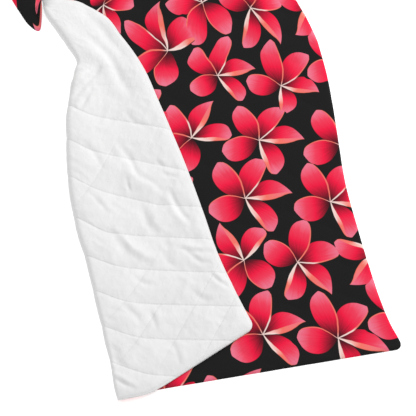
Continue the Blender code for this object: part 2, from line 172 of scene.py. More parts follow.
# Fine creases of the turned side, placed along short paths in the cut. Each is a trough, or a
# ridge above zero, with a bank of the other kind, `bank` of its height, on its left where that is
# above zero and else on its right, seen along the path. How far off a bank lies and how wide it
# is are counted in the crease's width.
BANK_OFF = 1.8
BANK_WIDE = 1.4
FOLD_FADE = 0.7
FOLD_NAMES = ("rise", "width", "bank", "path")
FOLDS = (
    (-0.0062, 0.021, -0.3, (
        (1.250, 1.330), (1.230, 1.252), (1.226, 1.190), (1.236, 1.078), (1.245, 1.025),
    )),
    (-0.0057, 0.016, -0.5, (
        (1.168, 1.235), (1.186, 1.130), (1.190, 1.073), (1.182, 0.980), (1.193, 0.890),
    )),
    (-0.0085, 0.014, 0.6, ((1.006, 0.990), (1.052, 1.030), (1.090, 1.058), (1.150, 1.074))),
    (-0.0050, 0.009, 0.6, ((1.010, 0.940), (1.050, 0.985), (1.085, 1.012))),
    (-0.0026, 0.008, 0.5, ((1.020, 1.060), (1.062, 1.090), (1.110, 1.098))),
    (-0.0030, 0.010, -0.6, (
        (1.088, 0.785), (1.102, 0.725), (1.112, 0.688), (1.112, 0.647), (1.120, 0.615),
        (1.150, 0.575), (1.182, 0.512),
    )),
    (-0.0046, 0.009, -0.6, ((1.190, 0.530), (1.197, 0.468), (1.207, 0.425), (1.224, 0.383))),
    (-0.0036, 0.013, 0.5, ((1.088, 0.535), (1.095, 0.480), (1.097, 0.448), (1.116, 0.402))),
    (0.0034, 0.010, -0.7, (
        (0.990, 0.515), (1.007, 0.460), (1.027, 0.408), (1.055, 0.367), (1.092, 0.333),
    )),
    (-0.0022, 0.006, 0.5, ((1.078, 0.636), (1.074, 0.580))),
    (-0.0024, 0.006, 0.6, ((1.184, 0.640), (1.204, 0.604))),
    (-0.0026, 0.006, 0.6, ((1.188, 0.590), (1.208, 0.566), (1.234, 0.546))),
    (-0.0028, 0.007, 0.6, ((1.150, 0.345), (1.205, 0.297), (1.264, 0.262))),
    (-0.0028, 0.007, 0.6, ((1.172, 0.330), (1.210, 0.260), (1.242, 0.236))),
    (-0.0026, 0.013, 0.4, ((1.131, 0.395), (1.125, 0.345), (1.130, 0.300))),
    (-0.0024, 0.009, 0.5, ((1.100, 0.372), (1.117, 0.315), (1.147, 0.272))),
    (-0.0028, 0.006, 0.6, ((1.222, 0.216), (1.240, 0.173), (1.258, 0.142))),
    (-0.0024, 0.008, 0.5, ((1.021, 0.215), (1.016, 0.145))),
    (-0.0024, 0.009, 0.5, ((1.044, 0.095), (1.034, 0.018))),
    (-0.0036, 0.016, 0.4, ((0.884, 0.160), (0.870, 0.080))),
    (-0.0034, 0.006, 0.6, ((0.838, 0.066), (0.870, 0.037), (0.900, 0.016))),
    (-0.0024, 0.010, 0.5, ((0.985, 0.830), (1.010, 0.770), (1.022, 0.700))),
    (-0.0022, 0.009, 0.5, ((1.150, 0.860), (1.170, 0.800), (1.205, 0.760))),
    (-0.0020, 0.008, 0.5, ((0.950, 0.640), (0.975, 0.590), (0.990, 0.540))),
    (-0.0022, 0.008, 0.5, ((1.000, 0.330), (1.030, 0.290), (1.070, 0.262))),
    (-0.0020, 0.008, 0.5, ((1.150, 0.205), (1.170, 0.160), (1.200, 0.130))),
    (-0.0022, 0.009, 0.5, ((0.950, 0.260), (0.975, 0.215), (0.985, 0.180))),
)

# How far the turned side is lifted for its creases, and the crumples on it, large to small
FLAP_LIFT = 0.0040
LIFT_PUFFED = 0.45
CRUMPLE_EDGE = 0.030
THINNEST = 0.0004
CRUMPLE_SEED = 17
CRUMPLE_TABLE = 64
CRUMPLE_GAIN = 2.5
CRUMPLE_NAMES = ("size_across", "size_along", "heading", "rise")
CRUMPLES = (
    (0.070, 0.045, 0.60, 0.0009),
    (0.034, 0.024, 2.20, 0.00045),
    (0.019, 0.011, 0.95, 0.00022),
)

# How far stitched lines draw in the turned side. Nearly flat lines above number 13 hang slack,
# and the steeper ones draw it in only along these stretches.
SLACK_FROM = 13.2
SLACK_FULL = 13.8
SLACK_PULL = 0.08
DRAWN_NAMES = ("line", "from_along", "to_along")
DRAWN_LINES = (
    (0, 0.640, 0.740),
    (3, 0.215, 0.300),
    (4, 0.080, 0.195),
    (5, 0.100, 0.215),
    (6, 0.035, 0.110),
)
DRAWN_FADE = 0.040
LOOSE_PULL = 0.12
PUCKER_SIZE = 0.016
PUCKER_LONG = 0.064
PUCKER_REACH = 0.020
PUCKER_RISE = 0.0007
LINE_APART = 0.105

# Where the quilt's origin, the middle of its box, lies among the sections
ORIGIN_X = -0.5041
ORIGIN_Y = 0.8740

# Lattices: columns over the flat stretch, over the turn with a margin, and over the turned side,
# and rows along the cut. Each panel is finest where it shows. All counts are even, because the
# inner faces use every second point.
TURN_MARGIN = 0.008
FRONT_COUNTS = (148, 16, 44, 352)
BACK_COUNTS = (44, 16, 128, 400)

# How far to each side a surface's slope is read
SLOPE_STEP = 0.0005

# The print: flowers of five petals in a repeat that is turned on the cloth and steps aside from
# one row of repeats to the next. Near the top it is let out a little.
PRINT_TURN = math.radians(-15.0)
REPEAT_WIDE = 1.560
REPEAT_TALL = 0.880
REPEAT_ASIDE = -0.235
LET_OUT_FROM = 1.10
LET_OUT_TO = 1.28
LET_OUT_SHARE = 0.25

# Round these places in the cut the print is drawn aside, and fits again further out
DRIFT_NAMES = ("across", "along", "wide", "long", "aside", "onward")
DRIFTS = (
    (0.170, 0.950, 0.15, 0.11, 0.000, 0.032),
    (0.380, 1.360, 0.16, 0.13, 0.020, -0.035),
    (0.170, 1.280, 0.15, 0.13, 0.025, 0.000),
    (0.585, 1.143, 0.12, 0.10, 0.000, 0.010),
)

# Flowers, by their place in the repeat, their turn in degrees and their longest petal
BLOOM_NAMES = ("right", "up", "turn", "size")
BLOOMS = (
    (0.934, 0.075, 86.0, 0.176),
    (1.160, 0.005, 18.0, 0.146),
    (1.380, 0.015, -17.0, 0.152),
    (0.026, 0.103, 3.0, 0.155),
    (0.214, 0.075, 91.0, 0.178),
    (0.440, 0.005, 18.0, 0.146),
    (0.660, 0.015, -17.0, 0.152),
    (1.511, 0.306, -130.0, 0.150),
    (1.099, 0.235, 118.0, 0.148),
    (1.267, 0.245, -46.0, 0.147),
    (0.840, 0.415, 104.0, 0.135),
    (0.160, 0.405, 40.0, 0.150),
    (0.379, 0.235, 118.0, 0.148),
    (0.669, 0.211, -60.0, 0.160),
    (1.101, 0.446, 8.0, 0.160),
    (1.372, 0.460, -2.0, 0.154),
    (0.381, 0.446, 8.0, 0.160),
    (0.652, 0.460, -2.0, 0.154),
    (0.877, 0.637, 68.0, 0.160),
    (1.111, 0.653, 3.0, 0.161),
    (1.384, 0.665, 2.0, 0.158),
    (0.157, 0.637, 68.0, 0.160),
    (0.391, 0.653, 3.0, 0.161),
    (0.664, 0.665, 2.0, 0.158),
)

# Petals, counterclockwise, each in a fifth of the circle: how far along that fifth it points,
# its length and half width, how pointed it is, how far its middle line bends, how wide its
# turned edge is, and how far from the middle its edge line is cream before it is coral. Widths
# and bends are counted in the petal's length.
PETALS = 5
PETAL_STEP = 2 * math.pi / PETALS
PETAL_NAMES = ("lead", "length", "half_width", "pointed", "bend", "band", "cream")
PETAL_ROWS = (
    (0.62, 0.95, 0.222, 1.00, 0.095, 1.00, 0.25),
    (0.47, 0.96, 0.245, 0.30, 0.075, 0.00, 0.35),
    (0.31, 1.00, 0.235, 0.25, 0.015, 0.00, 0.00),
    (0.35, 0.79, 0.350, 0.20, 0.020, 0.00, 0.00),
    (0.76, 0.86, 0.235, 0.00, 0.070, 0.85, 0.45),
)
ROUND_PETAL = (
    (0.00, 0.00), (0.10, 0.32), (0.25, 0.68), (0.42, 0.93), (0.60, 1.00), (0.78, 0.95),
    (0.89, 0.76), (0.95, 0.46), (1.00, 0.00),
)
POINTED_PETAL = (
    (0.00, 0.00), (0.10, 0.30), (0.25, 0.68), (0.42, 0.97), (0.55, 1.00), (0.70, 0.84),
    (0.84, 0.50), (0.94, 0.20), (1.00, 0.00),
)
BAND_WIDTH = (
    (0.00, 0.015), (0.12, 0.050), (0.30, 0.100), (0.50, 0.122), (0.68, 0.098),
    (0.86, 0.044), (1.00, 0.000),
)
LINE_WIDTH = (
    (0.00, 0.014), (0.15, 0.028), (0.50, 0.027), (0.80, 0.016), (1.00, 0.004),
)
PRINT_SOFTNESS = 0.012

# A petal's middle line is bowed as a parabola, which this number brings to a height of 1. It
# swerves clockwise just before the tip, which gives the tip a slight corner.
BOW_HEIGHT = 4.0
TIP_ASIDE = -0.070
TIP_POWER = 8
STREAKS_PER_RADIAN = 9.0
STREAK_DEPTH = 0.20
BAND_STREAK_DEPTH = 0.10
BAND_MIDDLE = 0.5
SHADE_LEAN = -0.30

# Colours along a petal, its turned edge and its edge line: where, between which two, and how far
# towards the second
SHADE_NAMES = ("at", "first", "second", "share")
PETAL_SHADES = (
    (0.03, "throat", "petal", 0.00), (0.14, "throat", "petal", 0.12),
    (0.27, "throat", "petal", 0.42), (0.46, "petal", "tip", 0.00),
    (0.70, "petal", "tip", 0.22), (0.96, "petal", "tip", 1.00),
)
BAND_SHADES = (
    (0.30, "line", "fold", 0.00), (0.52, "line", "fold", 0.35),
    (0.74, "fold", "tip", 0.00), (1.00, "fold", "tip", 0.45),
)
LINE_SHADES = ((0.00, "line", "fold", 0.00), (0.12, "line", "fold", 1.00))

# A place belongs to the flower whose outline it is least far out of. The outline is drawn
# through each petal's tip and its sides at these shares of its length.
OUTLINE_REACHES = (1.0, 0.85, 0.55)
FAR_AWAY = 10.0

# Brushed microfibre: a nap too fine for the eye, drawn as coarse as it needs to show, small
# wrinkles, slow changes of tone, and the dents along the seams
NAP_SIZE = 0.0022
NAP_HEIGHT = 0.00025
WRINKLE_SIZE = 0.016
WRINKLE_HEIGHT = 0.0012
SEAM_HALF_WIDTH = 0.0045
SEAM_DEPTH = 0.0006
EDGE_STITCH_INSET = 0.005
TONES_PER_METRE = 14.0
BLACK = (0.0, 0.0, 0.0)
GREY = (0.1, 0.1, 0.1)

# Polyester fibre: no metal in it, and a weak gloss that the cut ends of its nap scatter
FIBRE = {"Metallic": 0.0, "IOR": 1.5, "Specular IOR Level": 0.25, "Sheen Roughness": 0.6}

# Stitches, made where the white back shows, which is from SHOWN_SHARE of the turn on: their
# spacing and size, how far they stand proud and dip in, and how far they keep from the edge. Each
# is an arched bar of three rings, narrower at the top.
STITCH_STEP = 0.0036
STITCH_LONG = 0.0027
STITCH_WIDE = 0.0006
STITCH_PROUD = 0.0003
STITCH_SUNK = 0.0002
STITCH_CLEAR = 0.008
STITCH_BEND = (0.0, 0.5, 1.0)
STITCH_ARCH = (0.25, 1.0, 0.25)
STITCH_TOP_SHARE = 0.6
SHOWN_SHARE = 0.99
EDGE_CLEAR = 0.004
CORNER_STEPS = 9
THREAD_PLY = 0.0003

# Studio: the camera's place among the sections, and the floor and the lamp about the origin
CAMERA_ACROSS = -0.6808
CAMERA_BEFORE = -0.5315
CAMERA_HIGH = 2.3564
SENSOR = 36.0
FLOOR_SIZE = 12.0
KEY_PLACE = (8.7, 4.8, 5.6)
KEY_SIZE = 5.0
FLOOR_BELOW = -0.0003


def linear(code):
    """Linear red, green and blue from an sRGB hex code."""
    parts = [int(code[i:i + 2], 16) / 255 for i in (1, 3, 5)]
    return tuple(p / 12.92 if p <= 0.04045 else ((p + 0.055) / 1.055) ** 2.4 for p in parts)


def colour_property(name, description, code):
    """Colour setting whose default is an sRGB hex code."""
    return FloatVectorProperty(
        name=name, description=description, subtype="COLOR", size=3, min=0, max=1,
        default=linear(code),
    )


class PrintSettings(bpy.types.PropertyGroup):
    """Colours and size of the flower print"""

    ground: colour_property("Ground", "Cloth between the flowers", "#1c1c1c")
    throat: colour_property("Throat", "Petals next to the flower's middle", "#34181e")
    petal: colour_property("Petal", "Main colour of the petals", "#e41c40")
    tip: colour_property("Tip", "Ends of the petals", "#e2738a")
    fold: colour_property("Fold", "Outer part of a petal's turned edge", "#ea7264")
    line: colour_property("Line", "Petal edges near the flower's middle", "#ecd2cb")
    repeat: FloatProperty(
        name="Repeat", description="Width of the print's repeat", default=REPEAT_WIDE,
        min=0.4, max=4.0, subtype="DISTANCE", unit="LENGTH",
    )


class ClothSettings(bpy.types.PropertyGroup):
    """Finish and relief of the two cloths"""

    white: colour_property("White", "Plain back of the quilt", "#e1e1e1")
    puff: FloatProperty(
        name="Puff", description="Height of the quilting between its stitched lines",
        default=LOFT, min=0.0, max=0.01, subtype="DISTANCE", unit="LENGTH",
    )
    crease: FloatProperty(
        name="Crease", description="Strength of the fine creases on the turned side",
        default=1.0, min=0.0, max=2.0, subtype="FACTOR",
    )


class StageSettings(bpy.types.PropertyGroup):
    """Camera, lights and floor"""

    lens: FloatProperty(
        name="Lens", description="Focal length on a 36 mm wide sensor", default=72.33,
        min=20.0, max=200.0, unit="CAMERA",
    )
    azimuth: FloatProperty(
        name="Azimuth", description="Camera's turn from straight below the hem",
        default=math.radians(-11.0), subtype="ANGLE", unit="ROTATION",
    )
    elevation: FloatProperty(
        name="Elevation", description="Camera's height angle above the floor",
        default=math.radians(65.0), subtype="ANGLE", unit="ROTATION",
    )
    floor: colour_property("Floor", "Plain studio floor", "#fcfcfc")
    fill: FloatProperty(
        name="Fill", description="Strength of the even light from all round", default=0.80,
        min=0.0, max=5.0,
    )
    key: FloatProperty(
        name="Key", description="Power of the large lamp behind and to the right",
        default=880.0, min=0.0, max=2000.0, unit="POWER",
    )
    backlight: FloatProperty(
        name="Backlight", description="Light that comes through the floor from below",
        default=0.40, min=0.0, max=5.0,
    )


def by_column(names, rows):
    """A table's columns, by name."""
    return namedtuple("Columns", names)(*np.array(rows).T)


def by_row(names, rows):
    """A table's rows, each with its values by name."""
    row_of = namedtuple("Row", names)
    return [row_of(*row) for row in rows]


def through(names, rows, name, at):
    """Smooth curve through one column of a table, read at the distances `at`."""
    table = by_column(names, rows)
    knots, values = table.along, getattr(table, name)
    slopes = np.gradient(values, knots)
    at = np.clip(at, knots[0], knots[-1])
    i = np.clip(np.searchsorted(knots, at, side="right") - 1, 0, len(knots) - 2)
    span = knots[i + 1] - knots[i]
    u = (at - knots[i]) / span
    start = (1 + 2 * u) * (1 - u) ** 2 * values[i] + u * (1 - u) ** 2 * span * slopes[i]
    end = u**2 * (3 - 2 * u) * values[i + 1] - u**2 * (1 - u) * span * slopes[i + 1]
    return start + end


def plan_point(names, rows, name, along):
    """Place in plan of one of a table's lines."""
    return np.stack([through(names, rows, name + end, along) for end in ("_x", "_y")], -1)


def opened(name, along):
    """One column of the open side's table, read at `along`."""
    return through(OPEN_NAMES, OPEN_SECTIONS, name, along)


def ease_in(x, low, high):
    """0 below `low`, 1 above `high`, and smooth between."""
    u = np.clip((x - low) / (high - low), 0, 1)
    return u * u * (3 - 2 * u)


def edge_distance(across, along):
    """Distance from the nearest edge of the cut, with its rounded corners."""
    from_side = np.minimum(across, CUT_WIDTH - across)
    from_end = np.minimum(along, CUT_LENGTH - along)
    in_x = np.maximum(CORNER_RADIUS - from_side, 0)
    in_y = np.maximum(CORNER_RADIUS - from_end, 0)
    in_corner = CORNER_RADIUS - np.hypot(in_x, in_y)
    return np.where((in_x > 0) & (in_y > 0), in_corner, np.minimum(from_side, from_end))


def taper(across, along):
    """How full the filling is: thin at the edge seam and in the sharp bends, whole elsewhere."""
    u = np.clip(edge_distance(across, along) / EDGE_TAPER, 0, 1)
    shoulder = EDGE_LOFT_SHARE + (1 - EDGE_LOFT_SHARE) * np.sqrt(1 - (1 - u) ** 2)
    off_across = (across - PRESSED_ACROSS) / PRESSED_WIDE
    off_along = (along - PRESSED_ALONG) / PRESSED_LONG
    pressed = np.exp(-((off_across**2 + off_along**2) ** 2))
    return shoulder * (1 - (1 - PRESSED_SHARE) * pressed)


def stitched_counts(across, along):
    """Places counted in the two families of stitched lines, whole numbers on the lines."""
    table = by_column(ROW_NAMES, ROWS)
    reach = np.interp(along, table.along, table.rows_reach)
    wide = (across - QUILT_ACROSS) / DIAMOND_WIDE
    long = (reach - QUILT_ALONG) / DIAMOND_LONG
    return wide + long, wide - long


def padding(across, along):
    """Puffed height of the quilting, 0 on the stitched lines and 1 in a diamond's middle."""
    height = np.ones_like(across)
    for count, pull in zip(stitched_counts(across, along), stitch_pulls(across, along)):
        height = height * (1 - pull * (1 - np.sqrt(np.abs(np.sin(math.pi * count)))))
    return height


def stitch_pulls(across, along):
    """How far each family of stitched lines draws the cloth in: less at the slack top of the
    turned side, and there only in stretches along the steeper lines."""
    rising, falling = stitched_counts(across, along)
    turned = turned_share(across, along)
    pull = 1 - (1 - SLACK_PULL) * turned * ease_in(rising, SLACK_FROM, SLACK_FULL)
    drawn = np.zeros_like(across)
    for item in by_row(DRAWN_NAMES, DRAWN_LINES):
        begun = ease_in(along, item.from_along - DRAWN_FADE, item.from_along)
        left = 1 - ease_in(along, item.to_along, item.to_along + DRAWN_FADE)
        drawn = np.where(np.round(falling) == item.line, begun * left, drawn)
    return pull, pull * (1 - (1 - LOOSE_PULL) * turned * (1 - drawn))


def standing_share(along):
    """0 where the side is turned over, 1 from where its last strip stands up."""
    return ease_in(along, STANDS_FROM, STANDS_AT)


def opening_share(along):
    """0 up to where the last strip stands up, 1 where the side lies open."""
    return ease_in(along, OPENS_FROM, OPENS_TO)


Place = namedtuple("Place", "right base lip inward radius free_width")


def place_of_turn(along):
    """Plan points, directions and widths that all of a section's stretches share."""
    right, turn, lip = (
        plan_point(SECTION_NAMES, SECTIONS, name, along) for name in ("right", "turn", "lip")
    )
    radius = through(SECTION_NAMES, SECTIONS, "turn_high", along) / 2
    inward = right - turn
    inward /= np.linalg.norm(inward, axis=-1, keepdims=True)
    base = turn + inward * radius[..., None]
    tail = np.maximum(np.linalg.norm(lip - base, axis=-1), SHORTEST_TAIL)
    turned_width = math.pi * radius + tail
    share = opening_share(along)
    free_width = (1 - share) * turned_width + share * opened("free_width", along)
    return Place(right, base, lip, inward, radius, free_width)


def lying_height(across, along):
    """Height of the middle surface where the white back lies on the floor."""
    return PANEL_GAP / 2 + LOFT * taper(across, along)


def roll_height(across, along):
    """Height of the soft rolls near the top."""
    rise = np.zeros_like(across)
    for roll in by_row(ROLL_NAMES, ROLLS):
        u = np.clip((across - roll.across) / roll.width, -0.5, 0.5)
        grown = ease_in(along, roll.from_along, roll.full_along)
        rise += roll.rise * grown * np.cos(math.pi * u) ** 2
    return rise


def crease_height(across, along):
    """Height of the main creases, each fading out towards both ends."""
    rise = np.zeros_like(across)
    for crease in by_row(CREASE_NAMES, MAIN_CREASES):
        run_x = crease.across_to - crease.across_from
        run_y = crease.along_to - crease.along_from
        length = math.hypot(run_x, run_y)
        off_x = across - crease.across_from
        off_y = along - crease.along_from
        down = (off_x * run_x + off_y * run_y) / length**2
        aside = (off_x * run_y - off_y * run_x) / length
        fade = np.sin(math.pi * np.clip(down, 0, 1)) ** 2
        rise += crease.rise * fade * np.exp(-((aside / crease.width) ** 2))
    return rise


def raised(plan, up):
    """Points over these places in plan, at the height `up`."""
    return np.concatenate([plan, up[..., None]], -1)


def swing(u):
    """Share of a turned section's swing at `u` of its way from the turn to the free edge."""
    soft = SWING_SOFTNESS * np.log1p(np.exp((u - SWING_FROM) / SWING_SOFTNESS))
    return soft / (1 - SWING_FROM)


def turned_part(past, along, place, height):
    """Points `past` metres beyond the straight part, where the side is turned over."""
    radius, inward = place.radius, place.inward
    sideways = np.stack([inward[..., 1], -inward[..., 0]], -1)
    angle = np.clip(past / radius, 0, math.pi)
    hem_pull = HEM_PULL * np.exp(-along / HEM_PULL_REACH)
    reach = place.lip - place.base - sideways * hem_pull[..., None]
    onward = (reach * inward).sum(-1)
    aside = (reach * sideways).sum(-1)
    tail_width = np.maximum(place.free_width - math.pi * radius, SHORTEST_TAIL)
    gone = np.maximum(past - math.pi * radius, 0)
    u = gone / tail_width
    forward = -radius * np.sin(angle) + onward * u
    drift = hem_pull * (1 - np.cos(angle)) / 2 + aside * (swing(u) - swing(0 * u))
    plan = place.base + inward * forward[..., None] + sideways * drift[..., None]
    rest = 2 * LOFT + PANEL_GAP + LAYER_GAP
    rest = rest + lying_height(CUT_WIDTH - place.free_width + past, along)
    over = height + radius * (1 - np.cos(angle))
    settled = np.exp(-((gone / np.maximum(SETTLE_WIDTH, SETTLE_SHARE * tail_width)) ** 2))
    up = np.where(angle < math.pi, over, rest + (height + 2 * radius - rest) * settled)
    return raised(plan, up)


def standing_part(past, place, height):
    """Points `past` metres beyond the straight part, where the last strip stands up."""
    angle = np.clip(past / place.radius, 0, math.pi / 2)
    gone = np.maximum(past - math.pi / 2 * place.radius, 0)
    plan = place.base - place.inward * (place.radius * np.sin(angle))[..., None]
    up = height + place.radius * (1 - np.cos(angle)) + gone
    return raised(plan, up)


def open_part(past, along, place, height):
    """Points `past` metres beyond the straight part, where the side lies open."""
    edge = plan_point(OPEN_NAMES, OPEN_SECTIONS, "edge", along)
    heading = np.radians(opened("heading", along))
    ahead = np.stack([np.cos(heading), np.sin(heading)], -1)
    u = (past / place.free_width)[..., None]
    speed = np.linalg.norm(edge - place.base, axis=-1)[..., None]
    plan = (1 + 2 * u) * (1 - u) ** 2 * place.base - u * (1 - u) ** 2 * speed * place.inward
    plan = plan + u**2 * (3 - 2 * u) * edge - u**2 * (1 - u) * speed * ahead
    crest = CREST_RISE * ease_in(along, CREST_FROM, CREST_FULL) * np.sin(math.pi * u[..., 0])
    return raised(plan, height + crest)


def turned_share(across, along):
    """0 where the print faces up, 1 where the white back does, through the turn."""
    place = place_of_turn(along)
    past = across - (CUT_WIDTH - place.free_width)
    return ease_in(past, 0, math.pi * place.radius) * (1 - standing_share(along))


def cloth_point(across, along):
    """Middle surface of the quilt as it lies, for places in the flat cut."""
    place = place_of_turn(along)
    straight = CUT_WIDTH - place.free_width
    height = lying_height(across, along)
    share = np.clip(across / straight, 0, 1)
    run = place.base - place.right
    ease = np.clip(LEAST_EASE * straight / np.linalg.norm(run, axis=-1), 1, MOST_EASE)
    gone = ease * share - (ease - 1) * share**EASE_POWER
    plan = place.right + run * gone[..., None]
    lying = raised(plan, height + roll_height(across, along))
    past = np.maximum(across - straight, 0)
    turned = turned_part(past, along, place, height)
    turned[..., 2] += crease_height(across, along) * turned_share(across, along)
    stands = standing_part(past, place, height)
    opens = open_part(past, along, place, height)
    free = turned + (stands - turned) * standing_share(along)[..., None]
    free = free + (opens - free) * opening_share(along)[..., None]
    point = np.where((across <= straight)[..., None], lying, free)
    return point - np.array([ORIGIN_X, ORIGIN_Y, 0])


def fold_height(across, along):
    """Height of the fine creases, each fading out towards both ends of its path."""
    rise = np.zeros_like(across)
    for fold in by_row(FOLD_NAMES, FOLDS):
        path = np.array(fold.path)
        legs = np.linalg.norm(np.diff(path, axis=0), axis=1)
        starts = np.concatenate([[0], np.cumsum(legs)])
        nearest = np.full(across.shape, np.inf)
        aside, gone = np.zeros_like(across), np.zeros_like(across)
        for (x, y), (next_x, next_y), leg, start in zip(path[:-1], path[1:], legs, starts):
            run_x, run_y = (next_x - x) / leg, (next_y - y) / leg
            down = np.clip((across - x) * run_x + (along - y) * run_y, 0, leg)
            off_x, off_y = across - x - down * run_x, along - y - down * run_y
            distance = np.hypot(off_x, off_y)
            closer = distance < nearest
            side = np.where(off_x * run_y - off_y * run_x < 0, -1, 1)
            aside = np.where(closer, side * distance, aside)
            gone = np.where(closer, (start + down) / starts[-1], gone)
            nearest = np.where(closer, distance, nearest)
        fade = np.sin(math.pi * gone) ** FOLD_FADE
        off = np.sign(fold.bank) * aside / fold.width
        bank = abs(fold.bank) * np.exp(-(((off + BANK_OFF) / BANK_WIDE) ** 2))
        rise += fold.rise * fade * (np.exp(-(off**2)) - bank)
    return rise


def fine_relief(across, along):
    """Fine creases and crumples of the turned side, as height added to its filling."""
    strength = bpy.context.scene.quilt_cloth.crease
    inner = ease_in(edge_distance(across, along), 0, CRUMPLE_EDGE)
    lift = FLAP_LIFT * inner * (1 - LIFT_PUFFED + LIFT_PUFFED * padding(across, along))
    small = crumples(across, along) + puckers(across, along)
    return lift + (fold_height(across, along) + inner * small) * strength


def crumples(across, along):
    """Crumples of every scale: flat dents with creased ridges between them."""
    total = np.zeros_like(across)
    for number, item in enumerate(by_row(CRUMPLE_NAMES, CRUMPLES)):
        cosine, sine = math.cos(item.heading), math.sin(item.heading)
        x = (across * cosine + along * sine) / item.size_across
        y = (along * cosine - across * sine) / item.size_along
        dent = np.abs(smooth_noise(x, y, CRUMPLE_SEED + number))
        total += item.rise * (1 - CRUMPLE_GAIN * dent)
    return total


def puckers(across, along):
    """Small ripples across each stitched line, fading out beside it."""
    total = np.zeros_like(across)
    rising, falling = stitched_counts(across, along)
    pulls = stitch_pulls(across, along)
    for number, (own, other) in enumerate(((rising, falling), (falling, rising))):
        beside = np.abs(own - np.round(own)) * LINE_APART
        x, y = other * LINE_APART / PUCKER_SIZE, own * LINE_APART / PUCKER_LONG
        ripple = pulls[number] * smooth_noise(x, y, 2 * CRUMPLE_SEED + number)
        total += PUCKER_RISE * ripple * np.exp(-((beside / PUCKER_REACH) ** 2))
    return total


def smooth_noise(x, y, seed):
    """Seeded smooth noise between -1 and 1, with about one bump a unit."""
    table = np.random.default_rng(seed).uniform(-1, 1, (CRUMPLE_TABLE, CRUMPLE_TABLE))
    i, j = np.floor(x).astype(int), np.floor(y).astype(int)
    u, v = ease_in(x - i, 0, 1), ease_in(y - j, 0, 1)
    i, j, next_i, next_j = (k % CRUMPLE_TABLE for k in (i, j, i + 1, j + 1))
    low = table[i, j] * (1 - u) + table[next_i, j] * u
    high = table[i, next_j] * (1 - u) + table[next_i, next_j] * u
    return low * (1 - v) + high * v


def outward(across, along):
    """Unit normal of the middle surface, on the printed side."""
    step = SLOPE_STEP
    low_x, high_x = np.maximum(across - step, 0), np.minimum(across + step, CUT_WIDTH)
    low_y, high_y = np.maximum(along - step, 0), np.minimum(along + step, CUT_LENGTH)
    by_across = cloth_point(high_x, along) - cloth_point(low_x, along)
    by_along = cloth_point(across, high_y) - cloth_point(across, low_y)
    normal = np.cross(by_along, by_across)
    return normal / np.linalg.norm(normal, axis=-1, keepdims=True)


def puffed_loft(across, along):
    """Thickness of a panel whose quilting is puffed."""
    puff = bpy.context.scene.quilt_cloth.puff
    return SEAM_LOFT + (puff - SEAM_LOFT) * padding(across, along)


def front_loft(across, along):
    """Thickness of the printed front: puffed where it lies on top, even where it is beneath."""
    puffed = puffed_loft(across, along)
    turned = turned_share(across, along)
    return (puffed + (LOFT - puffed) * turned) * taper(across, along)


def back_loft(across, along):
    """Thickness of the white back: even on the floor, puffed where it is turned up."""
    turned = turned_share(across, along)
    even = (LOFT + (puffed_loft(across, along) - LOFT) * turned) * taper(across, along)
    return np.maximum(even + fine_relief(across, along) * turned, THINNEST)


def cut_lattice(flat_columns, turn_columns, tail_columns, rows):
    """Places of a lattice over the cut, closer in the turn, with the corners rounded."""
    along = np.linspace(0, CUT_LENGTH, rows + 1)
    place = place_of_turn(along)
    start = CUT_WIDTH - place.free_width - TURN_MARGIN
    end = CUT_WIDTH - place.free_width + math.pi * place.radius + TURN_MARGIN
    knots = (0 * along, start, end, CUT_WIDTH + 0 * along)
    columns = []
    for low, high, count in zip(knots, knots[1:], (flat_columns, turn_columns, tail_columns)):
        columns.append(low + (high - low) * (np.arange(count) / count)[:, None])
    columns.append(np.full((1, rows + 1), CUT_WIDTH))
    across = np.concatenate(columns)
    along = np.broadcast_to(along, across.shape)
    return rounded(across, along)


def rounded(across, along):
    """Lattice places with each square corner drawn in to the corner's round."""
    ends, near = [], []
    for place, whole in ((across, CUT_WIDTH), (along, CUT_LENGTH)):
        end = np.where(place < whole / 2, 0, whole)
        ends.append(end)
        near.append(np.clip(1 - np.abs(place - end) / CORNER_RADIUS, 0, 1))
    in_corner = (near[0] > 0) & (near[1] > 0)
    drawn = []
    for place, end, own, other in zip((across, along), ends, near, reversed(near)):
        inset = CORNER_RADIUS * (1 - own * np.sqrt(1 - other**2 / 2))
        drawn.append(np.where(in_corner, end + np.where(end == 0, inset, -inset), place))
    return drawn


def grid_faces(columns, rows, first, flip):
    """Quads of a lattice whose points are numbered from `first`, column by column."""
    i, j = np.meshgrid(np.arange(columns), np.arange(rows), indexing="ij")
    a = (first + i * (rows + 1) + j).ravel()
    quads = np.stack([a, a + rows + 1, a + rows + 2, a + 1], -1)
    return quads[:, ::-1] if flip else quads


def rim_of(columns, rows):
    """Numbers of the points round a lattice's edge, counterclockwise."""
    stride = rows + 1
    bottom = [i * stride for i in range(columns)]
    right = [columns * stride + j for j in range(rows)]
    top = [i * stride + rows for i in range(columns, 0, -1)]
    return bottom + right + top + list(range(rows, 0, -1))


def linked(name, data):
    """New object for this data, in the scene."""
    made = bpy.data.objects.new(name, data)
    bpy.context.scene.collection.objects.link(made)
    return made


def new_piece(name, points, faces, finish):
    """New smooth mesh object in one finish."""
    mesh = bpy.data.meshes.new(name)
    mesh.from_pydata(points, [], faces)
    mesh.shade_smooth()
    mesh.materials.append(finish)
    return linked(name, mesh)


